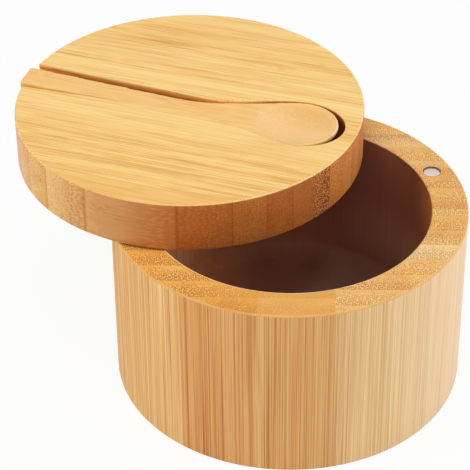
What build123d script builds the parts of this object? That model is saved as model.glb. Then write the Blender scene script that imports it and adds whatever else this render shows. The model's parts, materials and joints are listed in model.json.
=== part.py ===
"""Round salt box of laminated bamboo, with a swivelling lid that carries its own spoon.

All sizes are in millimetres.  The frame has +Z up and its origin at the centre of the box's underside.
The lid turns about an upright steel pin in the rim at -X, and two disc magnets near +X hold it shut.
The lid is drawn swung open by lid_open_angle; when it is shut, the spoon's bowl points towards -Y.
"""

import os
from math import cos, radians, sin

from build123d import *

# ---- box ----
box_diameter = 100.0
base_height = 54.5
wall_thickness = 10.2
floor_thickness = 8.0
floor_corner_radius = 5.0
rim_edge_break = 0.5
foot_chamfer = 0.4

# ---- lid ----
lid_thickness = 15.0
lid_edge_break = 0.4
lid_open_angle = 53.0

# ---- swivel: a steel pin, pressed into the rim and running in the lid, and a washer that spaces them ----
pivot_offset = -0.4
pin_diameter = 5.0
pin_seat_depth = 16.0
pin_chamfer = 0.4
pin_plain_length = 2.0
pin_groove_count = 8
pin_groove_radius = 0.25
pin_roof_thickness = 4.0
pin_end_gap = 0.5
running_clearance = 0.05
washer_diameter = 8.0
washer_thickness = 0.5
swivel_play = 0.05

# ---- catch: a disc magnet in the rim and another in the lid ----
catch_offset = -1.0
catch_bearing = 2.3
magnet_diameter = 5.0
magnet_thickness = 3.0
magnet_chamfer = 0.15
rim_magnet_recess = 0.4
lid_magnet_recess = 0.2

# ---- spoon ----
bowl_diameter = 20.9
bowl_height = 5.1
bowl_edge_height = 1.3
dish_lip = 0.8
dish_depth = 2.9
neck_distance = 31.0
neck_width = 6.8
neck_thickness = 4.6
rim_land_length = 13.0
handle_end_width = 9.4
handle_end_thickness = 5.0
handle_end_rise = 1.4
handle_corner_rounding = 1.6
handle_bend_radius = 200.0
handle_overhang = 0.9
spoon_edge_break = 0.4

# ---- the spoon's slot in the lid ----
slot_tip_wall = 3.8
slot_tip_clearance = 1.75
slot_bowl_clearance = 0.45
slot_neck_clearance = 0.8
slot_end_clearance = 1.9
slot_rim_drop = 0.4
slot_floor_gap = 0.1
spoon_lie_angle = 1.2

# ---- derived sizes ----
box_radius = box_diameter / 2
chamber_radius = box_radius - wall_thickness
wall_middle = box_radius - wall_thickness / 2
pivot_circle = wall_middle + pivot_offset
catch_circle = wall_middle + catch_offset
pin_radius = pin_diameter / 2
magnet_radius = magnet_diameter / 2
lid_gap = washer_thickness + swivel_play
pin_bore_depth = lid_thickness - pin_roof_thickness
pin_length = pin_seat_depth + lid_gap + pin_bore_depth - pin_end_gap
bowl_radius = bowl_diameter / 2
dome_height = bowl_height - bowl_edge_height
dome_radius = (bowl_radius**2 + dome_height**2) / (2 * dome_height)
dish_rim_radius = bowl_radius - dish_lip
dish_radius = (dish_rim_radius**2 + dish_depth**2) / (2 * dish_depth)
slot_depth = bowl_height + slot_floor_gap + slot_rim_drop
slot_tip = box_radius - slot_tip_wall
bowl_station = slot_tip - slot_tip_clearance - bowl_radius
handle_reach = box_radius + handle_overhang + bowl_station
handle_end_top = handle_end_rise + handle_end_thickness
handle_slope = handle_end_rise / (handle_reach - neck_distance)

# ---- planes ----
# The pivot and the catch have the same local places in the lid's plane as in the shut box.
rim_top = Plane.XY.offset(base_height)
lid_turn = Vector(cos(radians(lid_open_angle)), sin(radians(lid_open_angle)))
lid_centre = Vector(-pivot_circle, 0, base_height + lid_gap) + lid_turn * pivot_circle
lid_under = Plane(lid_centre, x_dir=lid_turn)
# The slot's plane has its X along the slot, from the handle's end towards the bowl.
slot_mouth = Plane(lid_under.offset(lid_thickness).origin, x_dir=-lid_under.y_dir)
slot_floor = slot_mouth.offset(-slot_depth)
# The spoon lies slightly askew: its handle leans on the slot's wall on the pivot's side.
spoon_turn = slot_floor.x_dir.rotate(Axis.Z, spoon_lie_angle)
spoon_bed = Plane(slot_floor.from_local_coords((bowl_station, 0, slot_floor_gap)), x_dir=spoon_turn)
spoon_side = Plane(spoon_bed.origin, x_dir=spoon_turn, z_dir=-spoon_bed.y_dir)


def paddle_outline(end_x, end_width, neck_x, neck, bowl_x, bowl, tip_x):
    """Draws a spoon's plan along X: a tapered handle, curved shoulders and a rounded bowl."""
    reach = (bowl_x - neck_x) / 3
    taper = (neck - end_width) / 2 / (neck_x - end_x)
    with BuildLine() as outline:
        Polyline((end_x, 0), (end_x, end_width / 2), (neck_x, neck / 2))
        Bezier(
            (neck_x, neck / 2),
            (neck_x + reach, neck / 2 + reach * taper),
            (bowl_x - reach, bowl / 2),
            (bowl_x, bowl / 2),
        )
        EllipticalCenterArc((bowl_x, 0), tip_x - bowl_x, bowl / 2, arc_size=90)
        mirror(about=Plane.XZ)
    return outline.edges()


os.makedirs("parts", exist_ok=True)

# ---- base: a turned block with the salt chamber bored out of it ----
with BuildPart() as base_body:
    with BuildSketch():
        Circle(box_radius)
    extrude(amount=base_height)
    with BuildSketch(Plane.XY.offset(floor_thickness)):
        Circle(chamber_radius)
    extrude(amount=base_height - floor_thickness, mode=Mode.SUBTRACT)
    chamfer(base_body.edges().group_by(Axis.Z)[0], foot_chamfer)
    chamfer(base_body.edges().group_by(Axis.Z)[-1], rim_edge_break)
    chamber_floor = base_body.faces().filter_by_position(Axis.Z, floor_thickness, floor_thickness)
    fillet(chamber_floor.edges(), floor_corner_radius)
    with BuildSketch(rim_top):
        with PolarLocations(pivot_circle, 1, 180):
            Circle(pin_radius)
    extrude(amount=-pin_seat_depth, mode=Mode.SUBTRACT)
    with BuildSketch(rim_top):
        with PolarLocations(catch_circle, 1, catch_bearing):
            Circle(magnet_radius)
    extrude(amount=-(rim_magnet_recess + magnet_thickness), mode=Mode.SUBTRACT)
base_body.part.label = "base_body"
export_step(base_body.part, "parts/base_body.step")

# ---- pivot pin: its lower part is grooved and pressed into the rim, its upper part is a smooth journal ----
with BuildPart() as pivot_pin:
    with BuildSketch(rim_top.offset(-pin_seat_depth)):
        with PolarLocations(pivot_circle, 1, 180):
            Circle(pin_radius)
    extrude(amount=pin_length)
    chamfer(pivot_pin.edges().filter_by(GeomType.CIRCLE), pin_chamfer)
    with BuildSketch(rim_top.offset(-pin_seat_depth)):
        with PolarLocations(pivot_circle, 1, 180):
            with PolarLocations(pin_radius, pin_groove_count):
                Circle(pin_groove_radius)
    extrude(amount=pin_seat_depth - pin_plain_length, mode=Mode.SUBTRACT)
pivot_pin.part.label = "pivot_pin"
export_step(pivot_pin.part, "parts/pivot_pin.step")

# ---- spacer washer: lies on the rim round the pin and carries the lid clear of the rim ----
with BuildPart() as spacer_washer:
    with BuildSketch(rim_top):
        with PolarLocations(pivot_circle, 1, 180):
            Circle(washer_diameter / 2)
            Circle(pin_radius + running_clearance, mode=Mode.SUBTRACT)
    extrude(amount=washer_thickness)
spacer_washer.part.label = "spacer_washer"
export_step(spacer_washer.part, "parts/spacer_washer.step")

# ---- lid: a disc with the spoon's slot routed into its top, open at the handle's end ----
with BuildPart() as lid:
    with BuildSketch(lid_under):
        Circle(box_radius)
    extrude(amount=lid_thickness)
    with BuildSketch(slot_mouth):
        slot_outline = paddle_outline(
            -box_radius - handle_overhang,
            handle_end_width + 2 * slot_end_clearance,
            bowl_station - neck_distance,
            neck_width + 2 * slot_neck_clearance,
            bowl_station,
            bowl_diameter + 2 * slot_bowl_clearance,
            slot_tip,
        )
        make_face(slot_outline)
    extrude(amount=-slot_depth, mode=Mode.SUBTRACT)
    slot_floor_edges = lid.edges().filter_by_position(Axis.Z, slot_floor.origin.Z, slot_floor.origin.Z)
    chamfer(lid.edges() - slot_floor_edges, lid_edge_break)
    with BuildSketch(lid_under):
        with PolarLocations(pivot_circle, 1, 180):
            Circle(pin_radius + running_clearance)
    extrude(amount=pin_bore_depth, mode=Mode.SUBTRACT)
    with BuildSketch(lid_under):
        with PolarLocations(catch_circle, 1, catch_bearing):
            Circle(magnet_radius)
    extrude(amount=lid_magnet_recess + magnet_thickness, mode=Mode.SUBTRACT)
lid.part.label = "lid"
export_step(lid.part, "parts/lid.step")

# ---- magnets: plain discs at the bottom of their pockets, a little below the wood's face ----
magnet_seats = {
    "rim_magnet": rim_top.offset(-rim_magnet_recess - magnet_thickness),
    "lid_magnet": lid_under.offset(lid_magnet_recess),
}
for magnet_name, magnet_seat in magnet_seats.items():
    with BuildPart() as magnet:
        with BuildSketch(magnet_seat):
            with PolarLocations(catch_circle, 1, catch_bearing):
                Circle(magnet_radius)
        extrude(amount=magnet_thickness)
        chamfer(magnet.edges().filter_by(GeomType.CIRCLE), magnet_chamfer)
    magnet.part.label = magnet_name
    export_step(magnet.part, f"parts/{magnet_name}.step")

# ---- spoon: sawn to its plan and its side view, rounded underneath like a trough with a ball end, and
# hollowed by a shallow round dish ----
# A face counts as upright where its normal rises by less than this.
level = 0.01
with BuildPart() as underside_form:
    with BuildSketch(spoon_side):
        with BuildLine():
            CenterArc((0, dome_radius), dome_radius, 270, 90)
            Polyline(
                (dome_radius, dome_radius),
                (-handle_reach, dome_radius),
                (-handle_reach, 0),
                (0, 0),
            )
        make_face()
    revolve(axis=Axis(spoon_bed.from_local_coords((0, 0, dome_radius)), spoon_bed.x_dir))

with BuildPart() as spoon:
    with BuildSketch(spoon_bed) as spoon_plan:
        spoon_outline = paddle_outline(
            -handle_reach, handle_end_width, -neck_distance, neck_width, 0, bowl_diameter, bowl_radius
        )
        make_face(spoon_outline)
        handle_end = spoon_plan.vertices().group_by(Axis.X)[0].sort_by(Axis.Y)
        fillet([handle_end[0], handle_end[-1]], handle_corner_rounding)
    extrude(amount=handle_end_top)
    with BuildSketch(spoon_side):
        with BuildLine():
            FilletPolyline(
                (-handle_reach, handle_end_top),
                (-neck_distance, neck_thickness),
                (-rim_land_length, bowl_height),
                (bowl_radius, bowl_height),
                radius=handle_bend_radius,
            )
            Polyline(
                (bowl_radius, bowl_height),
                (bowl_radius, -handle_slope * (neck_distance + bowl_radius)),
                (-handle_reach, handle_end_rise),
                (-handle_reach, handle_end_top),
            )
        make_face()
    extrude(amount=bowl_radius, both=True, mode=Mode.INTERSECT)
    add(underside_form.part, mode=Mode.INTERSECT)
    with Locations(spoon_bed.from_local_coords((0, 0, bowl_height - dish_depth + dish_radius))):
        Sphere(dish_radius, mode=Mode.SUBTRACT)
    spoon_sides = spoon.faces().filter_by(lambda face: abs(face.normal_at().Z) < level)
    chamfer(spoon_sides.edges().filter_by(Axis.Z, reverse=True), spoon_edge_break)
spoon.part.label = "spoon"
export_step(spoon.part, "parts/spoon.step")
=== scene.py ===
"""Dresses the bamboo salt box: its turned base, its swivelling lid, its spoon and its metal parts.

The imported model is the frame: each place below is worked out from it and from the sizes of the box.
"""

import json
from math import atan2, cos, pi, radians, sin, sqrt

import bmesh
import bpy
from mathutils import Matrix, Vector


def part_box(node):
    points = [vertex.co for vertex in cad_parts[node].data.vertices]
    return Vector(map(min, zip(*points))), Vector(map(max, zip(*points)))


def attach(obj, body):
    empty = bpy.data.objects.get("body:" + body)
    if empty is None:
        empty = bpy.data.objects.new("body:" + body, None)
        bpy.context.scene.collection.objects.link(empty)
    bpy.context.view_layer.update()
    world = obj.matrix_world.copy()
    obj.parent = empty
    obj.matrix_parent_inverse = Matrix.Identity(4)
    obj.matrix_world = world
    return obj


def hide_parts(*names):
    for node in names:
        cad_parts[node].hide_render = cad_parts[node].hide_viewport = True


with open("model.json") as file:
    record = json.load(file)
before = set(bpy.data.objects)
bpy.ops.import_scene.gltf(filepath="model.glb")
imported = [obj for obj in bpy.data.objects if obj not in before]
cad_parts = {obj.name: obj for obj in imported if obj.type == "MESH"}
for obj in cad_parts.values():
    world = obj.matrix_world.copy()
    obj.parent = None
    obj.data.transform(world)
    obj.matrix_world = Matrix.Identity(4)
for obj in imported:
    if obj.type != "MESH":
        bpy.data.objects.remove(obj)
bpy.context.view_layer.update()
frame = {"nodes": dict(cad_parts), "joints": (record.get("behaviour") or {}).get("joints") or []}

bl_info = {
    "name": "Bamboo Salt Box",
    "version": (1, 0, 0),
    "blender": (4, 5, 0),
    "location": "3D View > Sidebar > Salt Box",
    "description": "Models and finishes a round bamboo salt box with a swivelling lid and a spoon",
    "category": "Object",
}

MM = 0.001

# ---- places that the frame gives ----
BASE_LOW, BASE_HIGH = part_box("base_body")
LID_LOW, LID_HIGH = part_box("lid")
RIM_MAGNET_LOW, RIM_MAGNET_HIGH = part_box("rim_magnet")
LID_MAGNET_LOW, LID_MAGNET_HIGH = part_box("lid_magnet")
PIN_LOW, PIN_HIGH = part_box("pivot_pin")
BOX_RADIUS = (BASE_HIGH.x - BASE_LOW.x) / 2
RIM_HEIGHT = BASE_HIGH.z
RIM_MAGNET_MIDDLE = (RIM_MAGNET_LOW + RIM_MAGNET_HIGH) / 2
RIM_MAGNET_RADIUS = (RIM_MAGNET_HIGH.x - RIM_MAGNET_LOW.x) / 2
LID_MAGNET_MIDDLE = (LID_MAGNET_LOW + LID_MAGNET_HIGH) / 2
LID_MAGNET_RADIUS = (LID_MAGNET_HIGH.x - LID_MAGNET_LOW.x) / 2
PIN_RADIUS = (PIN_HIGH.x - PIN_LOW.x) / 2
LID_MIDDLE = (LID_LOW + LID_HIGH) / 2
LID_TOP = Vector((LID_MIDDLE.x, LID_MIDDLE.y, LID_HIGH.z))
PIVOT = Vector(next(joint["pos_m"] for joint in frame["joints"] if joint["name"] == "lid_swivel"))
# The lid's arm points from the pivot to the lid's middle, and the spoon lies square to it.
ARM_ANGLE = atan2(LID_MIDDLE.y - PIVOT.y, LID_MIDDLE.x - PIVOT.x)
SLOT_ANGLE = ARM_ANGLE - pi / 2
LID_TOP_PLACE = Matrix.Translation(LID_TOP) @ Matrix.Rotation(SLOT_ANGLE, 4, "Z")
# The base's strips are turned by this from the frame's X.
BASE_GRAIN_ANGLE = radians(-20)

# ---- how straight each flank leaves the neck and meets the bowl, as shares of its length ----
SPOON_FLARE = (0.49, 0.19)
SLOT_FLARE = (1 / 3, 1 / 3)
SNUG_FLARE = (0.45, 0.15)

# ---- how the tools work ----
HAIR = MM / 100
# Points this near to each other are made one.
WELD = MM / 1000
# How far a cutter stands out of the wood.
CLEARANCE = 5 * MM
# The upright part of a level face's normal is at least this.
LEVEL = 0.999
# Edges that turn by more than this are sanded.
SHARP = radians(60)
SANDING_GRID = 0.3 * MM
SANDING_PASSES = 6

WHITE = (1, 1, 1, 1)

# ---- where the camera stands, where its right and its top point, and its lens in mm ----
CAMERA_PLACE = Vector((-0.155659, -0.428609, 0.382804))
CAMERA_RIGHT = Vector((0.948919, -0.315416, -0.008044))
CAMERA_UP = Vector((0.194331, 0.564174, 0.802461))
CAMERA_LENS = 153.83


# ---- settings that a user can change ----
def length(name, millimetres, description):
    """A length, given in millimetres."""
    return bpy.props.FloatProperty(
        name=name, description=description, default=millimetres * MM, unit="LENGTH", precision=5
    )


def colour(name, red, green, blue, description):
    """A colour, in linear light."""
    tone = (red, green, blue)
    return bpy.props.FloatVectorProperty(
        name=name, description=description, default=tone, subtype="COLOR", min=0, max=1
    )


def share(name, value, description):
    """A share, from none to all."""
    return bpy.props.FloatProperty(name=name, description=description, default=value, min=0, max=1)


def strength(name, value, description):
    """A lamp's power or the sky's strength."""
    return bpy.props.FloatProperty(name=name, description=description, default=value, min=0)


def angle(name, degrees, description):
    """An angle, given in degrees."""
    return bpy.props.FloatProperty(
        name=name, description=description, default=radians(degrees), unit="ROTATION"
    )


class BoxSizes(bpy.types.PropertyGroup):
    """Sizes of the turned base and the lid's disc."""

    wall: length("Wall", 10.2, "Thickness of the box's wall")
    floor: length("Floor", 8, "Thickness of the box's floor")
    floor_corner: length("Floor corner", 5, "Radius between the chamber's wall and floor")
    rim_edge: length("Rim edge", 0.5, "Rounding of the rim's edges")
    lid_edge: length("Lid edge", 0.4, "Rounding of the lid's edges")
    foot_edge: length("Foot edge", 0.4, "Rounding of the edge it stands on")
    pin_seat: length("Pin seat", 16, "Depth of the pin's hole in the rim")
    pin_bore: length("Pin bore", 11, "Depth of the pin's hole in the lid")


class SpoonSizes(bpy.types.PropertyGroup):
    """Sizes of the spoon and of its slot in the lid."""

    bowl_width: length("Bowl width", 21.8, "Width and length of the round bowl")
    bowl_height: length("Bowl height", 5.1, "Height of the bowl's rim above the underside")
    bowl_edge: length("Bowl edge", 1.3, "Height of the upright edge round the bowl")
    dish_lip: length("Dish lip", 0.8, "Width of the flat lip round the dish")
    dish_depth: length("Dish depth", 2.9, "Depth of the dish")
    dish_reach: length("Dish reach", 13, "From the bowl's middle to the dish's far end")
    neck_place: length("Neck place", 40, "From the bowl's middle to the narrowest place")
    neck_width: length("Neck width", 6.6, "Width at the narrowest place")
    dip_place: length("Dip place", 31, "From the bowl's middle to the lowest place of the top")
    dip_height: length("Dip height", 4.6, "Height of the top at its lowest place")
    rim_land: length("Rim land", 13, "Level top from the bowl's middle to the handle")
    end_width: length("End width", 8.6, "Width of the handle's end")
    end_height: length("End height", 6.6, "Height of the handle's top at its end")
    end_rise: length("End rise", 1.4, "Height of the handle's underside at its end")
    end_corner: length("End corner", 1.6, "Rounding of the handle's end, seen from above")
    overhang: length("Overhang", 0.5, "How far the handle stands out of the lid")
    tip_wall: length("Tip wall", 4.0, "Wood left between the slot's tip and the lid's side")
    tip_gap: length("Tip gap", 2.1, "Gap between the bowl's tip and the slot")
    bowl_gap: length("Bowl gap", 0.25, "Gap beside the bowl")
    slot_neck_place: length("Slot neck place", 29, "From the bowl's middle to the slot's neck")
    slot_neck_width: length("Slot neck width", 8.4, "Width of the slot at its narrowest place")
    slot_end_width: length("Slot end width", 12.8, "Width of the slot at the lid's side")
    snug_neck_place: length("Snug neck place", 39, "Slot neck place where the spoon leans")
    snug_neck_width: length("Snug neck width", 8.3, "Slot neck width where the spoon leans")
    snug_end_width: length("Snug end width", 12.2, "Slot end width where the spoon leans")
    rim_drop: length("Rim drop", 0.4, "Depth of the bowl's rim below the lid's top")
    floor_gap: length("Floor gap", 0.1, "Gap between the spoon and the slot's floor")
    lie_angle: angle("Lie angle", 1.2, "How far askew the spoon lies")
    lie_shift: length("Lie shift", 0.17, "How far the spoon lies to one side")


class BambooFinish(bpy.types.PropertyGroup):
    """Colours and scale of the bamboo."""

    lid_pale: colour("Lid, pale", 0.91, 0.645, 0.26, "Palest strips of the lid")
    lid_tan: colour("Lid, tan", 0.87, 0.585, 0.215, "Ordinary strips of the lid")
    lid_amber: colour("Lid, amber", 0.76, 0.40, 0.095, "Darkest streaks of the lid")
    base_pale: colour("Base, pale", 0.88, 0.56, 0.235, "Palest strips of the base")
    base_tan: colour("Base, tan", 0.81, 0.43, 0.145, "Ordinary strips of the base")
    base_amber: colour("Base, amber", 0.60, 0.25, 0.068, "Darkest streaks of the base")
    lid_strip: length("Lid strip", 6.2, "Thickness of the lid's glued strips")
    base_strip: length("Base strip", 6.7, "Thickness of the base's glued strips")
    base_board: length("Base board", 20.5, "Width of the base's glued strips")
    lid_pitch: length("Lid pitch", 0.56, "Distance between fibre bundles, lid and spoon")
    base_pitch: length("Base pitch", 0.54, "Distance between fibre bundles, base")


class StudioSetup(bpy.types.PropertyGroup):
    """Lamps, sky and floor."""

    floor_radius: length("Floor radius", 4000, "Radius of the round floor")
    floor_colour: colour("Floor", 0.8, 0.8, 0.8, "Colour of the floor")
    floor_glow: share("Floor glow", 0.92, "How far the floor is seen as plain white")
    sky: strength("Sky", 0.33, "Strength of the even light from all round")
    key_lamp: strength("Key lamp", 5.95, "Power of the lamp above the camera")
    left_lamp: strength("Left lamp", 2.2, "Power of the lamp at the left")
    right_lamp: strength("Right lamp", 3.4, "Power of the lamp at the right")
    view_bearing: angle("View bearing", 70, "Bearing that the camera looks along")


GROUPS = {
    "salt_box_sizes": BoxSizes,
    "salt_spoon_sizes": SpoonSizes,
    "salt_bamboo": BambooFinish,
    "salt_studio": StudioSetup,
}


# ---- modelling helpers ----
def set_down(name, data):
    """Adds an object to the scene."""
    thing = bpy.data.objects.new(name, data)
    bpy.context.scene.collection.objects.link(thing)
    return thing


def make_piece(name, bm):
    """Makes an object of a bmesh and frees the bmesh."""
    mesh = bpy.data.meshes.new(name)
    bm.to_mesh(mesh)
    bm.free()
    return set_down(name, mesh)


def shown_mesh(thing):
    """A mesh of a curve, or of a piece with its modifiers."""
    graph = bpy.context.evaluated_depsgraph_get()
    return bpy.data.meshes.new_from_object(thing.evaluated_get(graph))


def finish_modifiers(piece):
    """Applies a piece's modifiers to its mesh."""
    worked = shown_mesh(piece)
    rough = piece.data
    piece.modifiers.clear()
    piece.data = worked
    worked.name = piece.name
    bpy.data.meshes.remove(rough)


def carve(piece, tool, operation="DIFFERENCE"):
    """Cuts a piece with a tool, or keeps what both share, and clears the tool away."""
    step = piece.modifiers.new("carve", "BOOLEAN")
    step.operation = operation
    step.solver = "EXACT"
    step.object = tool
    finish_modifiers(piece)
    bpy.data.meshes.remove(tool.data)


def round_off(bm, corners, offset, segments, affect="VERTICES"):
    """Rounds corners of an outline, or edges."""
    bmesh.ops.bevel(
        bm, geom=corners, offset=offset, segments=segments, profile=0.5, affect=affect, material=-1
    )


def draw_out(bm, faces, vec):
    """Draws a flat shape out into a solid."""
    drawn = bmesh.ops.extrude_face_region(bm, geom=faces, use_keep_orig=True)["geom"]
    moved = [part for part in drawn if isinstance(part, bmesh.types.BMVert)]
    bmesh.ops.translate(bm, verts=moved, vec=vec)
    bmesh.ops.recalc_face_normals(bm, faces=bm.faces)


def turned(name, profile, steps=288):
    """Turns a profile about Z on a lathe. Each corner is (radius, height, rounding)."""
    bm = bmesh.new()
    corners = [bm.verts.new((radius, 0, height)) for radius, height, _ in profile]
    for pair in zip(corners, corners[1:]):
        bm.edges.new(pair)
    for corner, (_, _, rounding) in zip(corners, profile):
        if rounding:
            round_off(bm, [corner], rounding, 3 + round(2 * sqrt(rounding / MM)))
    line = bm.verts[:] + bm.edges[:]
    bmesh.ops.spin(
        bm, geom=line, cent=(0, 0, 0), axis=(0, 0, 1), angle=2 * pi, steps=steps, use_merge=True
    )
    bmesh.ops.remove_doubles(bm, verts=bm.verts, dist=WELD)
    bmesh.ops.recalc_face_normals(bm, faces=bm.faces)
    return make_piece(name, bm)


def drill(place, radius, low, high):
    """An upright cylinder to cut a hole with."""
    bm = bmesh.new()
    bmesh.ops.create_cone(
        bm, cap_ends=True, segments=64, radius1=radius, radius2=radius, depth=high - low
    )
    bmesh.ops.translate(bm, verts=bm.verts, vec=(place.x, place.y, (low + high) / 2))
    return make_piece("drill", bm)


def shade(piece):
    """Smooths the curved faces of a piece and leaves its level ones flat."""
    for face in piece.data.polygons:
        face.use_smooth = abs(face.normal.z) < LEVEL


def paddle(name, end_x, sides, bowl_x, bowl_width, tip, low, high, place, end_corner=0):
    """An upright block with a spoon's outline that lies along X.

    Each of sides is (width at the end, place of the neck, width at the neck, flare). The first one
    shapes the side where y is above 0, and the last one shapes the other side.
    """
    # Handles of this length, as a share of the radius, make a quarter of a circle.
    roundness = 4 / 3 * (sqrt(2) - 1)

    def flank(end_width, neck_x, neck_width, flare):
        """The side where y is above 0: each point is followed by its left and right handles."""
        from_neck, to_bowl = (part * (bowl_x - neck_x) for part in flare)
        end_y, neck_y = end_width / 2, neck_width / 2
        slope = (neck_y - end_y) / (neck_x - end_x)
        third = (neck_x - end_x) / 3
        return [
            ((end_x, end_y), (end_x, end_y / 3), (end_x + third, end_y + slope * third)),
            (
                (neck_x, neck_y),
                (neck_x - third, neck_y - slope * third),
                (neck_x + from_neck, neck_y + slope * from_neck),
            ),
            (
                (bowl_x, bowl_y),
                (bowl_x - to_bowl, bowl_y),
                (bowl_x + roundness * (tip - bowl_x), bowl_y),
            ),
        ]

    bowl_y = bowl_width / 2
    nose = ((tip, 0), (tip, roundness * bowl_y), (tip, -roundness * bowl_y))
    flipped = [
        tuple((x, -y) for x, y in (point, after, before))
        for point, before, after in reversed(flank(*sides[-1]))
    ]
    route = [*flank(*sides[0]), nose, *flipped]
    curve = bpy.data.curves.new(name, "CURVE")
    curve.dimensions = "3D"
    curve.resolution_u = 20
    spline = curve.splines.new("BEZIER")
    spline.bezier_points.add(len(route) - 1)
    spline.use_cyclic_u = True
    for point, (middle, before, after) in zip(spline.bezier_points, route):
        point.co = (*middle, 0)
        point.handle_left = (*before, 0)
        point.handle_right = (*after, 0)
    outline = shown_mesh(set_down(name, curve))
    bm = bmesh.new()
    bm.from_mesh(outline)
    bpy.data.curves.remove(curve)
    bpy.data.meshes.remove(outline)
    bmesh.ops.remove_doubles(bm, verts=bm.verts, dist=WELD)
    if end_corner:
        in_x, in_y = end_x + HAIR, sides[0][0] / 2 - HAIR
        corners = [vert for vert in bm.verts if vert.co.x < in_x and abs(vert.co.y) > in_y]
        round_off(bm, corners, end_corner, 6)
    faces = bmesh.ops.contextual_create(bm, geom=bm.edges)["faces"]
    bmesh.ops.translate(bm, verts=bm.verts, vec=(0, 0, low))
    draw_out(bm, faces, (0, 0, high - low))
    bmesh.ops.transform(bm, matrix=place, verts=bm.verts)
    return make_piece(name, bm)


# ---- shader helpers ----
class Value:
    """A socket's number or colour. An expression on values adds the Math nodes that work it out."""

    def __init__(self, recipe, socket):
        self.recipe = recipe
        self.socket = socket

    def math(self, operation, *others):
        """Works a Math node's operation on this value and the others."""
        return self.recipe.math(operation, self, *others)

    def __add__(self, other):
        return self.math("ADD", other)

    def __sub__(self, other):
        return self.math("SUBTRACT", other)

    def __rsub__(self, other):
        return self.recipe.math("SUBTRACT", other, self)

    def __mul__(self, other):
        return self.math("MULTIPLY", other)

    def __truediv__(self, other):
        return self.math("DIVIDE", other)

    def __rtruediv__(self, other):
        return self.recipe.math("DIVIDE", other, self)

    def __lt__(self, other):
        return self.math("LESS_THAN", other)

    def __gt__(self, other):
        return self.math("GREATER_THAN", other)

    __radd__ = __add__
    __rmul__ = __mul__

    def other(self, output):
        """Another output of the same node."""
        return Value(self.recipe, self.socket.node.outputs[output])

    def between(self, low, high):
        """0 at low and 1 at high, with a smooth rise."""
        settings = {"interpolation_type": "SMOOTHSTEP"}
        sockets = {"Value": self, "From Min": low, "From Max": high}
        return self.recipe.node("ShaderNodeMapRange", settings, sockets)

    def within(self, low, high):
        """1 from low to high, and 0 outside."""
        return (self > low) * (self < high)


class Recipe:
    """A material, or a world, and the methods that add its nodes."""

    def __init__(self, owner):
        self.owner = bpy.data.materials.new(owner) if isinstance(owner, str) else owner
        self.owner.use_nodes = True
        self.tree = self.owner.node_tree
        self.surface = self.tree.nodes.get("Principled BSDF")

    def put(self, socket, fed):
        """Links a value to a socket, or sets the socket to a number or a colour."""
        if isinstance(fed, Value):
            self.tree.links.new(fed.socket, socket)
        else:
            socket.default_value = fed

    def node(self, kind, settings=None, sockets=(), output=0):
        """Adds a node, makes its settings, feeds its sockets and gives an output."""
        made = self.tree.nodes.new(kind)
        for name, setting in (settings or {}).items():
            setattr(made, name, setting)
        for key, fed in sockets.items() if isinstance(sockets, dict) else enumerate(sockets):
            self.put(made.inputs[key], fed)
        return Value(self, made.outputs[output])

    def math(self, operation, *values):
        """Works a Math node's operation on numbers and values."""
        return self.node("ShaderNodeMath", {"operation": operation}, values)

    def mix(self, factor, first, second, blend="MIX"):
        """Mixes two colours."""
        tones = [tone if isinstance(tone, Value) else (*tone, 1) for tone in (first, second)]
        settings = {"data_type": "RGBA", "blend_type": blend}
        return self.node("ShaderNodeMix", settings, {0: factor, 6: tones[0], 7: tones[1]}, 2)

    def tinted(self, colour, tint, factor=1.0):
        """Multiplies a colour by a tint, as far as the factor says."""
        return self.mix(factor, colour, tint, "MULTIPLY")

    def object_place(self):
        """Place on the object, in metres."""
        return self.node("ShaderNodeTexCoord", output=3)

    def grain_place(self, middle, turn):
        """Millimetres along X, Y and Z of a piece's own axes."""
        axes = {"Location": middle, "Rotation": (0, 0, turn), "Scale": (MM, MM, MM)}
        sockets = {"Vector": self.object_place(), **axes}
        place = self.node("ShaderNodeMapping", {"vector_type": "TEXTURE"}, sockets)
        apart = self.node("ShaderNodeSeparateXYZ", None, [place])
        return [apart.other(axis) for axis in range(3)]

    def seen_directly(self):
        """1 where the camera sees a surface, also in a mirror or through glass."""
        seen = self.node("ShaderNodeLightPath", None, (), "Is Camera Ray")
        mirrored, through = (seen.other(ray) for ray in ("Is Glossy Ray", "Is Transmission Ray"))
        return seen.math("MAXIMUM", mirrored).math("MAXIMUM", through)

    def join(self, x, y, z):
        """A vector of three numbers."""
        return self.node("ShaderNodeCombineXYZ", None, [x, y, z])

    def noise(self, place, scale=1, detail=2, roughness=0.5):
        """Cloudy noise about one half."""
        sockets = {"Vector": place, "Scale": scale, "Detail": detail, "Roughness": roughness}
        return self.node("ShaderNodeTexNoise", None, sockets)

    def dice(self, place):
        """A random number for each place of a grid."""
        return self.node("ShaderNodeTexWhiteNoise", None, {"Vector": place})

    def bump(self, relief, distance, height):
        """A normal that follows a fine relief."""
        sockets = {"Strength": relief, "Distance": distance, "Height": height}
        return self.node("ShaderNodeBump", None, sockets)

    def feed(self, **sockets):
        """Feeds the surface shader's sockets, named with _ for a space."""
        for name, fed in sockets.items():
            self.put(self.surface.inputs[name.replace("_", " ")], fed)

    def show(self, output, factor, first, second):
        """Mixes two shaders and links the mix to the named output node."""
        shown = self.node("ShaderNodeMixShader", None, [factor, first, second])
        self.put(self.tree.nodes[output].inputs["Surface"], shown)


def radius_at(x, y):
    """Distance from the axis where x and y are 0."""
    return (x * x + y * y).math("SQRT")


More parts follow.
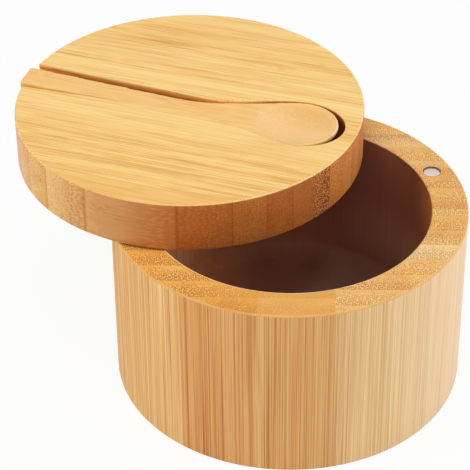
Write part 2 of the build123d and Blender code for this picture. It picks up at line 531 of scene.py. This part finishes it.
def bamboo(recipe, along, across, wide, strip, board, pitch, seed):
    """Solid bamboo, in millimetres: strips glued up across, with fibres that run along."""
    row = (across / strip).math("FLOOR")
    column = (wide / board).math("FLOOR")
    luck = recipe.dice(recipe.join(row, column, seed + 0.5))
    depth = across / strip - row
    # Bundles crowd towards one face of a strip, which was the outside of the culm.
    outer = 1 - depth
    # Each strip's pattern starts at its own place.
    shift = luck * 40

    def grain(start, density, detail=2, roughness=0.5):
        """Noise with so many clouds to a millimetre along, across and wide."""
        place = recipe.join(along * density[0] + start, across * density[1], wide * density[2])
        return recipe.noise(place, 1, detail, roughness)

    # Bundles waver, so that a face along the grain cuts them into streaks.
    waver = 5
    sway = (grain(shift, (0.04, 0.1, 0.1), 1) - 0.5) * waver
    swing = (grain(shift * -1, (0.04, 0.1, 0.1), 1) - 0.5) * waver
    place = recipe.join(across / pitch + sway, wide / pitch + swing + shift, 0)
    sockets = {"Vector": place, "Scale": 1, "Randomness": 0.6}
    bundles = recipe.node("ShaderNodeTexVoronoi", {"voronoi_dimensions": "2D"}, sockets)
    bundle_luck = recipe.node("ShaderNodeSeparateColor", None, [bundles.other("Color")])
    dots = (1 - bundles.between(0.15, 0.5)) * (bundle_luck < outer + 0.35)
    streaks = grain(shift, (0.035, 3.4, 3.4), 3, 0.7)
    clouds = grain(shift, (0.03, 0.2, 0.12))
    fuzz = grain(0, (0.4, 3, 3))
    # Thin dark lines come in bunches and taper off.
    strands = grain(shift, (0.01, 1.5, 1.5), 2, 0.6)
    bunches = grain(shift * -1, (0.03, 0.35, 0.35))
    lines = (1 - (strands - 0.5).math("ABSOLUTE").between(0, 0.07)) * bunches.between(0.4, 0.58)
    seam = 1 - (depth.math("MINIMUM", 1 - depth) * strip).between(0.02, 0.22)
    return {
        "luck": luck,
        "outer": outer,
        "dots": dots,
        "pith": bundles.between(0.45, 0.75),
        "streaks": streaks.between(0.25, 0.75),
        "clouds": clouds.between(0.2, 0.8),
        "fuzz": fuzz,
        "lines": lines,
        "seam": seam,
    }


def wood_colour(recipe, parts, colours, luck, streaks, lines=0, dots=0, seams=0):
    """Colour of sanded bamboo. The last five say how strongly each of its marks shows."""
    mix, tinted = recipe.mix, recipe.tinted
    pale, tan, amber = colours
    strip = (parts["luck"] - 0.5 + (parts["clouds"] - parts["outer"]) * 0.5) * luck
    tone = 0.55 + strip + (parts["streaks"] - 0.5) * streaks
    paler = mix(tone.between(0.5, 1), tan, pale)
    wood = mix(tone.between(0, 0.5), amber, paler)
    dark = tinted(wood, (0.72, 0.50, 0.32))
    wood = mix(parts["dots"] * dots, wood, dark)
    wood = mix(parts["lines"] * lines, wood, dark)
    return mix(parts["seam"] * seams, wood, dark)


def sand(recipe, parts, wood, relief, shine, pits=0.5, dull=0):
    """Finishes sanded bamboo. Pits are its bundles' depth, and dull is where it is rougher."""
    height = parts["streaks"] * 0.3 + parts["fuzz"] * 0.3 - parts["dots"] * pits
    recipe.feed(
        Base_Color=wood,
        Roughness=0.5 + parts["fuzz"] * 0.2 + dull,
        Normal=recipe.bump(relief, 0.1 * MM, height),
        Specular_IOR_Level=shine,
    )


def lid_material(sizes, finish):
    """Lid: strips lie along the spoon and the sawn side has soaked up oil; painted shade darkens the
    slot, and painted light pales the side's ends and the top's front edge.
    """
    recipe = Recipe("lid_bamboo")
    mix, tinted = recipe.mix, recipe.tinted
    x, y, z = recipe.grain_place(LID_TOP, SLOT_ANGLE)
    # Where a seam lies, and the width of boards, which is more than the lid's.
    seam, board = -4.8, 400
    strip, pitch = finish.lid_strip / MM, finish.lid_pitch / MM
    parts = bamboo(recipe, x, y - seam, z, strip, board, pitch, seed=3)
    strips = (y - seam) / strip
    colours = (finish.lid_pale, finish.lid_tan, finish.lid_amber)
    radius = radius_at(x, y)
    edge = BOX_RADIUS / MM
    broken = sizes.lid_edge / MM
    side = radius.between(edge - broken, edge - broken / 4) * (z < -broken * 0.6)
    top_wood = wood_colour(
        recipe, parts, colours, luck=0.25, streaks=1.25, lines=0.8, dots=0.2, seams=0.1
    )
    # Some of the top's strips, counted from the seam, are more orange, and some are paler.
    for low, high, tint, amount in (
        (-9, -6, finish.lid_amber, 0.45),
        (-3, -2, finish.lid_amber, 0.14),
        (6, 7, finish.lid_amber, 0.22),
        (7, 9, finish.lid_pale, 0.3),
        (4, 5, finish.lid_pale, 0.3),
        (2, 3, finish.lid_pale, 0.4),
        (-0.387, 0, finish.lid_amber, 0.12),
        (-1, -0.387, finish.lid_pale, 0.45),
        (-2, -1, finish.lid_pale, 0.25),
    ):
        top_wood = mix(strips.within(low, high) * amount, top_wood, tint)
    # Little growth marks, drawn out along the grain.
    for mark_x, mark_y, mark_size in ((19.5, 25.5, 1.6), (30, 31.5, 1.8), (1, -44, 2)):
        ring = radius_at((x - mark_x) * 0.6, y - mark_y) + parts["streaks"] * 0.8
        mark = 1 - ring.between(mark_size * 0.3, mark_size)
        top_wood = mix(mark * 0.45, top_wood, finish.lid_amber)
    sawn_wood = wood_colour(recipe, parts, colours, luck=0.9, streaks=0.8, lines=0.4, seams=0.6)
    # On the side towards the spoon's bowl, each strip of the sawn wood has its own tint.
    strip_tint = mix(x.between(-9, 0), (1.0, 0.90, 0.88), (1.07, 1.04, 1.06))
    for low, high, tint in (
        (-7, -6, (0.975, 0.825, 0.74)),
        (-6, -5, (1.03, 1.03, 1.03)),
        (-5, -3, (1.0, 0.90, 0.88)),
        (-3, -2, (0.99, 0.97, 1.2)),
        (-2, 0, (1.06, 1.06, 1.03)),
        (0, 9, (1.0, 1.03, 0.95)),
    ):
        strip_tint = mix(strips.within(low, high) * (x > 0), strip_tint, tint)
    sawn_wood = tinted(sawn_wood, strip_tint)
    # The side's bundles are dark on pale wood and pale on wood that has soaked up oil.
    speckled = tinted(sawn_wood, (0.80, 0.66, 0.5))
    crowded = (strips > -7) * (1 - y.between(-46.8, -44.6)) * (x < 0)
    speckled = mix(crowded * 0.35, speckled, (0.36, 0.19, 0.06))
    speckled = mix(parts["dots"] * (0.7 + crowded * 0.3), sawn_wood, speckled)
    soaked = tinted(sawn_wood, (0.54, 0.25, 0.12))
    pale_dots = tinted(soaked, (1.9, 2.8, 4.6))
    pale_strip = strips.within(-3, -2) * (x > 0)
    golden_strip = strips.within(-2, -1) * (x > 0)
    soaked = mix(pale_strip * 0.62, soaked, (0.17, 0.042, 0.010))
    pale_dots = mix(pale_strip, pale_dots, (0.94, 0.38, 0.115))
    pale_dots = mix(golden_strip * 0.6, pale_dots, (0.80, 0.42, 0.10))
    dotted = parts["dots"] * (pale_strip * 0.6 + golden_strip * 0.25 + 0.22)
    soaked = mix(dotted, soaked, pale_dots)
    # Painted sheen: beyond the bowl the side is paler, and palest and pinkish at its far end, as
    # light glancing off the side there.
    soaked = tinted(soaked, (1.6, 1.9, 2.3), x.between(43, 50) * 0.5)
    soaked = mix(x.between(49, 54.5) * 0.6, soaked, (0.82, 0.50, 0.34))
    # The side is soaked dark towards the right; at the handle's end it is left paler and speckled,
    # which is painted light falling on that end from the left.
    wood = mix(side, top_wood, mix(x.between(-36, 16), speckled, soaked))
    # Painted sheen: the side's end at the handle is tinted pale pink, as a haze of white light
    # glancing off it.
    end_sheen = side * (1 - x.between(-54, -28)) * (1 - y.between(-4, 12))
    wood = tinted(wood, (0.90, 0.88, 1.75), end_sheen)
    # The slot's walls are darker than the top; painted shade darkens them further the deeper they go,
    # and most round the bowl's tip, where the narrow gap lies in deep shade.
    slot_limit = -8
    slot = (1 - z.between(-0.9, -0.2)) * (z > slot_limit) * (radius < edge - broken)
    deep_shade = (1 - z.between(-2.6, -0.7)) * x.between(-54, -30)
    shading = mix(deep_shade, (0.88, 0.52, 0.27), (0.38, 0.15, 0.06))
    wood = tinted(wood, shading, slot)
    wood = tinted(wood, (0.42, 0.26, 0.18), slot * x.between(11, 28))
    # Painted highlight: a thin pale line along the top's front edge, where light catches the
    # rounding.
    edge_highlight = (radius > edge - broken) * (z > -broken) * x.between(-5, 25)
    wood = mix(edge_highlight * 0.12, wood, (1.0, 0.80, 0.48))
    sand(recipe, parts, wood, relief=0.15, shine=0.2)
    return recipe.owner


def base_material(sizes, finish):
    """Base: fibres upright, end grain on the rim, and a chamber darkened by painted shade."""
    recipe = Recipe("base_bamboo")
    mix, tinted = recipe.mix, recipe.tinted
    x, y, z = recipe.grain_place((0, 0, 0), BASE_GRAIN_ANGLE)
    # The rows of strips don't meet across a glue line, and are paler on its right.
    glue_line, first_seam, step = 12.4, 4.8, 2.9
    right = x > glue_line
    across = y - first_seam + right * step
    strip, board, pitch = finish.base_strip / MM, finish.base_board / MM, finish.base_pitch / MM
    parts = bamboo(recipe, z * 0.3, across, x - glue_line, strip, board, pitch, seed=12)
    colours = (finish.base_pale, finish.base_tan, finish.base_amber)
    long_grain = wood_colour(
        recipe, parts, colours, luck=0.08, streaks=0.95, lines=1.0, dots=0.3, seams=0.1
    )
    # Painted shade: the chamber is darkened in patches, as the deep shade inside the box, and painted
    # light makes patches at the right near the rim and at the left under the lid lighter.
    low_right = (1 - z.between(7, 34)) * x.between(0, 24)
    far_right = x.between(38, 44.4)
    back = y.between(15, 38) * z.between(8, 16)
    left = 1 - x.between(-42, -8)
    floor = (1 - z.between(8.2, 12)) * x.between(-22, -6)
    high_right = x.between(35.5, 40) * z.between(32, 50)
    chamber_shade = mix(z.between(6, 40), (0.80, 0.88, 1.4), (0.30, 0.18, 0.22))
    chamber_shade = mix(low_right * 0.9, chamber_shade, (0.24, 0.15, 0.22))
    chamber_shade = mix(far_right * 0.35, chamber_shade, (0.55, 0.32, 0.2))
    chamber_shade = mix(back * 0.6, chamber_shade, (0.50, 0.38, 0.66))
    chamber_shade = mix(left * 0.9, chamber_shade, (1.37, 1.41, 1.36))
    to_right = mix(x.between(8, 34), (1.09, 1.20, 1.74), (0.87, 0.85, 0.85))
    chamber_shade = tinted(chamber_shade, to_right)
    chamber_shade = mix(floor * 0.34, chamber_shade, (0.14, 0.10, 0.14))
    chamber_shade = mix(high_right * 0.35, chamber_shade, (0.9, 0.55, 0.25))
    even = mix(x.between(-42, -8) * 0.45 + 0.35, long_grain, finish.base_tan)
    shaded_chamber = tinted(even, chamber_shade)
    # The outer wall is paler at the right and the far left, and one strip is redder.
    pale_right = tinted(long_grain, (1.06, 1.26, 1.62))
    pale_right = mix(0.25, pale_right, (0.97, 0.76, 0.44))
    long_grain = mix(x.between(7, 20), long_grain, pale_right)
    # Painted sheen: further right the wall is paled towards a whitish tone, as white light glancing
    # off it.
    long_grain = mix(x.between(22, 52) * 0.5, long_grain, (0.93, 0.75, 0.54))
    red_left, red_right = -29.1, -17
    red_strip = x.within(red_left, red_right) * (y < 0)
    long_grain = tinted(long_grain, (1.04, 1.14, 1.2), x < red_left)
    long_grain = tinted(long_grain, (0.97, 0.92, 0.88), red_strip)
    end_grain = wood_colour(recipe, parts, colours, luck=0.5, streaks=0.3, seams=0.3)
    right_tint = mix(parts["outer"].between(0.2, 0.8), (0.92, 0.93, 0.86), (1.03, 1.11, 1.03))
    end_grain = tinted(end_grain, mix(right, (0.91, 0.81, 0.45), right_tint))
    # Some rows of the rim stand out. Each runs through one board, or all at the right.
    first, second, third, rest = (-8.1, glue_line), (glue_line, 32.4), (32.4, 60), (glue_line, 60)
    pale, straw, gold = (0.84, 0.52, 0.19), (0.86, 0.66, 0.33), (0.86, 0.62, 0.27)
    for boards, low, high, tint, amount in (
        (first, -60, -38.8, (0.66, 0.33, 0.107), 0.4),
        (second, -45, -41.7, pale, 0.55),
        (second, -41.7, -38.3, pale, 0.35),
        (second, -38.3, -35, (0.66, 0.35, 0.12), 0.35),
        (third, -38.3, -31.6, pale, 0.6),
        (rest, -24.9, -18.2, straw, 0.6),
        (rest, -18.2, -14.8, straw, 0.3),
        (rest, -4.8, -1.5, (0.70, 0.38, 0.12), 0.3),
        (rest, -1.5, 1.9, (0.66, 0.31, 0.09), 0.9),
        (rest, 18.6, 22, gold, 0.3),
        (rest, 35.4, 38.8, gold, 0.3),
    ):
        patch = x.within(*boards) * y.within(low, high)
        end_grain = mix(patch * amount, end_grain, tint)
    # Bundles are dark dots with pale pith between them, and pale dots in one brown strip.
    dark_dots = tinted(end_grain, (0.50, 0.29, 0.14))
    crowd = parts["outer"].between(-0.3, 0.7) * (1 - x.between(-34, 0) * 0.78 + right * 0.6)
    end_grain = mix(parts["pith"] * crowd * 0.35, end_grain, (1.0, 0.78, 0.40))
    end_grain = mix(parts["dots"] * crowd, end_grain, dark_dots)
    brown_front, brown_back = 28.7, 35.4
    brown_strip = y.within(brown_front, brown_back) * right
    browned = brown_strip * (0.4 + y.between(brown_front, brown_back) * 0.3)
    end_grain = mix(browned, end_grain, (0.48, 0.24, 0.10))
    end_grain = mix(brown_strip * parts["dots"] * 0.8, end_grain, (1.0, 0.76, 0.36))
    top = RIM_HEIGHT / MM
    wood = mix(z.between(top - 0.5, top - 0.3), long_grain, end_grain)
    radius = radius_at(x, y)
    chamber = (BOX_RADIUS - sizes.wall) / MM
    inside = 1 - radius.between(chamber + 0.1, chamber + 0.5)
    inside = inside * (z < top - 0.3) * (z > sizes.floor / MM / 2)
    wood = mix(inside, wood, shaded_chamber)
    # Painted highlight: the rim's rounded inner edge is painted pale, as a thin line of light against
    # the dark chamber. The rounded outer edge is tinted amber.
    broken = sizes.rim_edge / MM
    outer_edge = (radius > BOX_RADIUS / MM - broken * 0.8) * (z > top - broken * 1.1)
    inner_edge = (radius < chamber + broken * 0.9) * (z > top - broken * 0.8)
    wood = mix(inner_edge * (1 - x.between(14, 34)) * 0.9, wood, (1.0, 0.72, 0.40))
    wood = mix(outer_edge * 0.6, wood, (0.78, 0.45, 0.15))
    # Painted shade: the magnet's pocket walls are darkened, as the shadow round the sunken magnet.
    magnet = Matrix.Rotation(-BASE_GRAIN_ANGLE, 3, "Z") @ (RIM_MAGNET_MIDDLE / MM)
    pocket = radius_at(x - magnet.x, y - magnet.y) < RIM_MAGNET_RADIUS / MM + 0.1
    wood = mix(pocket * (z > top / 2), wood, (0.12, 0.06, 0.035))
    sand(recipe, parts, wood, relief=0.15, shine=0.25, dull=inside * 0.3)
    return recipe.owner


def spoon_material(place, finish):
    """Spoon: one strip of bamboo with its layers level, and a golden, speckled dish with painted
    shade across it and a painted highlight at its tip.
    """
    recipe = Recipe("spoon_bamboo")
    mix, tinted = recipe.mix, recipe.tinted
    x, y, z = recipe.grain_place(place.translation, place.to_euler().z)
    # The whole spoon lies within one strip, clear of its seams.
    strip, board, pitch = 12, 60, finish.lid_pitch / MM
    parts = bamboo(recipe, x, z + strip / 4, y + board / 2, strip, board, pitch, seed=23)
    colours = (finish.lid_pale, finish.lid_tan, finish.lid_amber)
    wood = wood_colour(recipe, parts, colours, luck=0.1, streaks=0.4, lines=0.3, dots=0.25)
    # The handle is a little redder than the bowl.
    to_bowl = mix(x.between(-42, -14), (0.965, 0.87, 0.85), (0.99, 0.92, 0.96))
    wood = tinted(wood, to_bowl)
    # The dish lies this far towards the handle, and is this much longer than wide.
    dish_shift, dish_stretch = 1.5, 1.15
    dish_radius = radius_at((x + dish_shift) / dish_stretch, y)
    speckle = recipe.noise(recipe.join(x * 1.3, y * 1.3, 0), 1, 3, 0.7).between(0.35, 0.65)
    # Painted shade: the dish is pale on one side and deeper orange on the other, as its hollow is lit
    # from one side. Its speckles show less where it is deeper orange.
    dish_shading = (x * 0.3 + y).between(-2, 9)
    bowl_wood = mix(dish_shading, (0.80, 0.52, 0.225), (0.70, 0.38, 0.12))
    bowl_wood = mix(speckle * (0.55 - dish_shading * 0.3), bowl_wood, (0.88, 0.60, 0.29))
    front_pale = x.between(0, 5) * (1 - y.between(-3, 3))
    bowl_wood = mix(front_pale * 0.5, bowl_wood, (0.90, 0.60, 0.28))
    wood = mix((1 - dish_radius.between(8, 11.5)) * 0.78, wood, bowl_wood)
    # Painted highlight: the bowl's rim is painted pale at its tip, as a thin line of light on its
    # edge.
    tip_glint = radius_at(x, y).between(10.3, 10.6) * x.between(6, 9) * y.between(-5, -1)
    wood = mix(tip_glint * 0.6, wood, (1.0, 0.84, 0.66))
    sand(recipe, parts, wood, relief=0.12, shine=0.25, pits=0)
    return recipe.owner


def metal_material(name, bright, roughness):
    """Plain metal, a little cloudy and finely grained."""
    recipe = Recipe(name)
    place = recipe.object_place()
    clouds = recipe.noise(place, 900, 3, 0.6)
    fine = recipe.noise(place, 6000, 2, 0.5)
    dull = tuple(part * 0.85 for part in bright)
    recipe.feed(
        Base_Color=recipe.mix(clouds, bright, dull),
        Metallic=1.0,
        Roughness=roughness + clouds * 0.15,
        Normal=recipe.bump(0.1, 0.02 * MM, fine),
    )
    return recipe.owner


def nylon_material():
    """Dark nylon."""
    recipe = Recipe("washer_nylon")
    clouds = recipe.noise(recipe.object_place(), 1500, 3, 0.6)
    dark = recipe.mix(clouds, (0.06, 0.05, 0.045), (0.09, 0.08, 0.07))
    recipe.feed(Base_Color=dark, Roughness=0.5 + clouds * 0.2)
    return recipe.owner


def finish_node(node, material):
    """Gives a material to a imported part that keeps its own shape."""
    target = frame["nodes"][node]
    target.data.materials.clear()
    target.data.materials.append(material)


# ---- operators: one for each piece or group of like pieces ----
class SALT_OT_base(bpy.types.Operator):
    """Turns the base on a lathe and drills it for the pin and the magnet."""

    bl_idname = "salt.base"
    bl_label = "Turn base"

    def execute(self, context):
        sizes = context.scene.salt_box_sizes
        chamber = BOX_RADIUS - sizes.wall
        profile = [
            (0, 0, 0),
            (BOX_RADIUS, 0, sizes.foot_edge),
            (BOX_RADIUS, RIM_HEIGHT, sizes.rim_edge),
            (chamber, RIM_HEIGHT, sizes.rim_edge),
            (chamber, sizes.floor, sizes.floor_corner),
            (0, sizes.floor, 0),
        ]
        base = turned("turned_base", profile)
        above = RIM_HEIGHT + CLEARANCE
        carve(base, drill(RIM_MAGNET_MIDDLE, RIM_MAGNET_RADIUS, RIM_MAGNET_LOW.z, above))
        carve(base, drill(PIVOT, PIN_RADIUS, RIM_HEIGHT - sizes.pin_seat, above))
        shade(base)
        base.data.materials.append(base_material(sizes, context.scene.salt_bamboo))
        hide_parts("base_body")
        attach(base, "box")
        return {"FINISHED"}


class SALT_OT_lid(bpy.types.Operator):
    """Cuts the lid's disc, drills it for the pin and the magnet, and routs the spoon's slot."""

    bl_idname = "salt.lid"
    bl_label = "Cut lid"

    def execute(self, context):
        sizes = context.scene.salt_box_sizes
        spoon = context.scene.salt_spoon_sizes
        bm = bmesh.new()
        bmesh.ops.create_circle(bm, cap_ends=True, segments=360, radius=BOX_RADIUS)
        draw_out(bm, bm.faces[:], (0, 0, LID_LOW.z - LID_HIGH.z))
        bmesh.ops.transform(bm, matrix=LID_TOP_PLACE, verts=bm.verts)
        lid = make_piece("swivel_lid", bm)
        below = LID_LOW.z - CLEARANCE
        carve(lid, drill(LID_MAGNET_MIDDLE, LID_MAGNET_RADIUS, below, LID_MAGNET_HIGH.z))
        carve(lid, drill(PIVOT, PIN_RADIUS, below, LID_LOW.z + sizes.pin_bore))
        slot_depth = spoon.bowl_height + spoon.floor_gap + spoon.rim_drop
        tip = BOX_RADIUS - spoon.tip_wall
        bowl_x = tip - spoon.tip_gap - spoon.bowl_width / 2
        wide_neck = bowl_x - spoon.slot_neck_place
        snug_neck = bowl_x - spoon.snug_neck_place
        router = paddle(
            "router",
            -BOX_RADIUS - spoon.overhang,
            (
                (spoon.slot_end_width, wide_neck, spoon.slot_neck_width, SLOT_FLARE),
                (spoon.snug_end_width, snug_neck, spoon.snug_neck_width, SNUG_FLARE),
            ),
            bowl_x,
            spoon.bowl_width + 2 * spoon.bowl_gap,
            tip,
            -slot_depth,
            CLEARANCE,
            LID_TOP_PLACE,
        )
        carve(lid, router)
        bm = bmesh.new()
        bm.from_mesh(lid.data)
        slot_floor = LID_HIGH.z - slot_depth
        near = MM / 10

        def at_side(edge):
            """Tells an edge on the lid's round side."""
            return all((vert.co - LID_MIDDLE).xy.length > BOX_RADIUS - near for vert in edge.verts)

        def flattest(vert):
            """The least turn at any edge of a vertex, which is large at a corner."""
            return min(edge.calc_face_angle(0) for edge in vert.link_edges)

        # A vertex too near a corner would be in the way of the rounding, so it joins the corner.
        crowded = {}
        for edge in bm.edges:
            if edge.calc_length() < 2 * sizes.lid_edge and at_side(edge):
                spare, corner = sorted(edge.verts, key=flattest)
                crowded[spare] = corner
        bmesh.ops.weld_verts(bm, targetmap=crowded)

        def sanded(edge):
            """Tells the outer edges, apart from those of holes and the slot's floor."""
            on_floor = all(abs(vert.co.z - slot_floor) < near for vert in edge.verts)
            on_top = all(vert.co.z > LID_HIGH.z - near for vert in edge.verts)
            outside = (on_top or at_side(edge)) and not on_floor
            return outside and edge.calc_face_angle_signed(0) > SHARP

        round_off(bm, [edge for edge in bm.edges if sanded(edge)], sizes.lid_edge, 4, "EDGES")
        bm.to_mesh(lid.data)
        bm.free()
        shade(lid)
        lid.data.materials.append(lid_material(sizes, context.scene.salt_bamboo))
        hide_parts("lid")
        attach(lid, "lid")
        return {"FINISHED"}


class SALT_OT_spoon(bpy.types.Operator):
    """Saws the spoon to its plan and its side view, rounds it underneath, hollows and sands it."""

    bl_idname = "salt.spoon"
    bl_label = "Carve spoon"

    def execute(self, context):
        sizes = context.scene.salt_spoon_sizes
        bowl_radius = sizes.bowl_width / 2
        bowl_x = BOX_RADIUS - sizes.tip_wall - sizes.tip_gap - bowl_radius
        reach = BOX_RADIUS + sizes.overhang + bowl_x
        bed = sizes.bowl_height + sizes.rim_drop
        place = LID_TOP_PLACE @ Matrix.Translation((bowl_x, sizes.lie_shift, -bed))
        place = place @ Matrix.Rotation(sizes.lie_angle, 4, "Z")
        spare = MM
        spoon = paddle(
            "carved_spoon",
            -reach,
            ((sizes.end_width, -sizes.neck_place, sizes.neck_width, SPOON_FLARE),),
            0,
            sizes.bowl_width,
            bowl_radius,
            -spare,
            sizes.end_height + spare,
            Matrix.Identity(4),
            sizes.end_corner,
        )
        # The side view is drawn on XZ and drawn out along Y, wider than the bowl.
        bm = bmesh.new()
        slope = sizes.end_rise / (reach - sizes.dip_place)
        over = 2 * MM
        bend = 4 * MM
        side_view = [
            (-reach - over, sizes.end_height + over * slope),
            (-sizes.dip_place, sizes.dip_height),
            (-sizes.rim_land, sizes.bowl_height),
            (bowl_radius + over, sizes.bowl_height),
            (bowl_radius + over, -slope * (sizes.dip_place + bowl_radius + over)),
            (-reach - over, sizes.end_rise + over * slope),
        ]
        corners = [bm.verts.new((x, -sizes.bowl_width, z)) for x, z in side_view]
        for first, second in zip(corners, corners[1:] + corners[:1]):
            bm.edges.new((first, second))
        for corner in corners[1:3]:
            round_off(bm, [corner], bend, 8)
        faces = bmesh.ops.contextual_create(bm, geom=bm.edges)["faces"]
        draw_out(bm, faces, (0, 2 * sizes.bowl_width, 0))
        carve(spoon, make_piece("side_view", bm), "INTERSECT")
        # The underside is part of a trough whose end is almost half a ball.
        dome_height = sizes.bowl_height - sizes.bowl_edge
        dome_radius = (bowl_radius**2 + dome_height**2) / (2 * dome_height)
        almost = 0.999
        trough_profile = [
            (0, -dome_radius, 0),
            (dome_radius, -dome_radius, dome_radius * almost),
            (dome_radius, reach + over, 0),
            (0, reach + over, 0),
        ]
        trough = turned("trough", trough_profile, 128)
        laid = Matrix.Translation((0, 0, dome_radius)) @ Matrix.Rotation(-pi / 2, 4, "Y")
        trough.data.transform(laid)
        carve(spoon, trough, "INTERSECT")
        # The dish is part of a ball drawn out lengthways.
        dish_rim = bowl_radius - sizes.dish_lip
        dish_radius = (dish_rim**2 + sizes.dish_depth**2) / (2 * sizes.dish_depth)
        dish_x = (dish_rim - sizes.dish_reach) / 2
        dish_z = sizes.bowl_height - sizes.dish_depth + dish_radius
        bm = bmesh.new()
        bmesh.ops.create_icosphere(bm, subdivisions=6, radius=dish_radius)
        stretch = (dish_rim + sizes.dish_reach) / (2 * dish_rim)
        bmesh.ops.scale(bm, verts=bm.verts, vec=(stretch, 1, 1))
        bmesh.ops.translate(bm, verts=bm.verts, vec=(dish_x, 0, dish_z))
        carve(spoon, make_piece("dish", bm))
        # Sanding rounds every edge of the spoon.
        remesh = spoon.modifiers.new("remesh", "REMESH")
        remesh.mode = "VOXEL"
        remesh.voxel_size = SANDING_GRID
        finish_modifiers(spoon)
        bm = bmesh.new()
        bm.from_mesh(spoon.data)
        for _ in range(SANDING_PASSES):
            bmesh.ops.smooth_vert(
                bm, verts=bm.verts, factor=0.5, use_axis_x=True, use_axis_y=True, use_axis_z=True
            )
        bmesh.ops.transform(bm, matrix=place, verts=bm.verts)
        bm.to_mesh(spoon.data)
        bm.free()
        spoon.data.shade_smooth()
        spoon.data.materials.append(spoon_material(place, context.scene.salt_bamboo))
        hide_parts("spoon")
        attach(spoon, "spoon")
        return {"FINISHED"}


class SALT_OT_fittings(bpy.types.Operator):
    """Finishes the two magnets, the pin and its washer."""

    bl_idname = "salt.fittings"
    bl_label = "Finish fittings"

    def execute(self, context):
        nickel = metal_material("magnet_nickel", (0.75, 0.63, 0.58), 0.35)
        for node in ("rim_magnet", "lid_magnet"):
            finish_node(node, nickel)
        finish_node("pivot_pin", metal_material("pin_steel", (0.56, 0.56, 0.57), 0.25))
        finish_node("spacer_washer", nylon_material())
        return {"FINISHED"}


class SALT_OT_studio(bpy.types.Operator):
    """Sets up the floor, the soft lamps, the sky and the camera."""

    bl_idname = "salt.studio"
    bl_label = "Set up studio"

    def execute(self, context):
        studio = context.scene.salt_studio
        bm = bmesh.new()
        bmesh.ops.create_circle(bm, cap_ends=True, segments=96, radius=studio.floor_radius)
        floor = make_piece("studio_floor", bm)
        recipe = Recipe("studio_floor")
        recipe.feed(Base_Color=(*studio.floor_colour, 1), Roughness=0.9)
        plain = Value(recipe, recipe.surface.outputs[0])
        white = recipe.node("ShaderNodeEmission", None, {"Color": WHITE, "Strength": 1})
        recipe.show("Material Output", recipe.seen_directly() * studio.floor_glow, plain, white)
        floor.data.materials.append(recipe.owner)
        # The sky lights the box softly, but is seen as plain white.
        sky = Recipe(bpy.data.worlds.new("studio_sky"))
        context.scene.world = sky.owner
        light, white = (
            sky.node("ShaderNodeBackground", None, {"Color": WHITE, "Strength": power})
            for power in (studio.sky, 1)
        )
        sky.show("World Output", sky.seen_directly(), light, white)
        target = Vector((0, 0, 0.03))
        # Each lamp's bearing is counted from straight ahead of the camera, positive to the left.
        lamps = {
            "key_lamp": (150, 0.22, 0.95, 0.8, studio.key_lamp),
            "left_lamp": (110, 0.9, 0.3, 0.6, studio.left_lamp),
            "right_lamp": (-95, 0.9, 0.35, 0.6, studio.right_lamp),
        }
        for name, (bearing, distance, height, size, power) in lamps.items():
            lamp = bpy.data.lights.new(name, "AREA")
            lamp.shape = "DISK"
            lamp.size = size
            lamp.energy = power
            holder = set_down(name, lamp)
            turn = studio.view_bearing + radians(bearing)
            holder.location = (distance * cos(turn), distance * sin(turn), height)
            holder.rotation_euler = (target - holder.location).to_track_quat("-Z", "Y").to_euler()
        view = bpy.data.cameras.new("camera")
        view.lens = CAMERA_LENS
        view.clip_start = 10 * MM
        camera = set_down("camera", view)
        axes = Matrix((CAMERA_RIGHT, CAMERA_UP, CAMERA_RIGHT.cross(CAMERA_UP)))
        camera.matrix_world = Matrix.Translation(CAMERA_PLACE) @ axes.transposed().to_4x4()
        context.scene.camera = camera
        context.scene.view_settings.view_transform = "Standard"
        return {"FINISHED"}


OPERATORS = (SALT_OT_base, SALT_OT_lid, SALT_OT_spoon, SALT_OT_fittings, SALT_OT_studio)


class SALT_PT_panel(bpy.types.Panel):
    """Lists the steps and the settings of the salt box."""

    bl_label = "Salt Box"
    bl_idname = "SALT_PT_panel"
    bl_space_type = "VIEW_3D"
    bl_region_type = "UI"
    bl_category = "Salt Box"

    def draw(self, context):
        for operator in OPERATORS:
            self.layout.operator(operator.bl_idname)
        for group_name in GROUPS:
            group = getattr(context.scene, group_name)
            box = self.layout.box()
            for setting in group.__annotations__:
                box.prop(group, setting)


def register():
    """Registers the settings, the steps and the panel."""
    for group_name, group in GROUPS.items():
        bpy.utils.register_class(group)
        setattr(bpy.types.Scene, group_name, bpy.props.PointerProperty(type=group))
    for operator in (*OPERATORS, SALT_PT_panel):
        bpy.utils.register_class(operator)


def unregister():
    """Takes back what register added."""
    for operator in (SALT_PT_panel, *reversed(OPERATORS)):
        bpy.utils.unregister_class(operator)
    for group_name, group in reversed(GROUPS.items()):
        delattr(bpy.types.Scene, group_name)
        bpy.utils.unregister_class(group)


def main():
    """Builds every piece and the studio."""
    register()
    bpy.ops.salt.base()
    bpy.ops.salt.lid()
    bpy.ops.salt.spoon()
    bpy.ops.salt.fittings()
    bpy.ops.salt.studio()


if __name__ == "__main__":
    main()
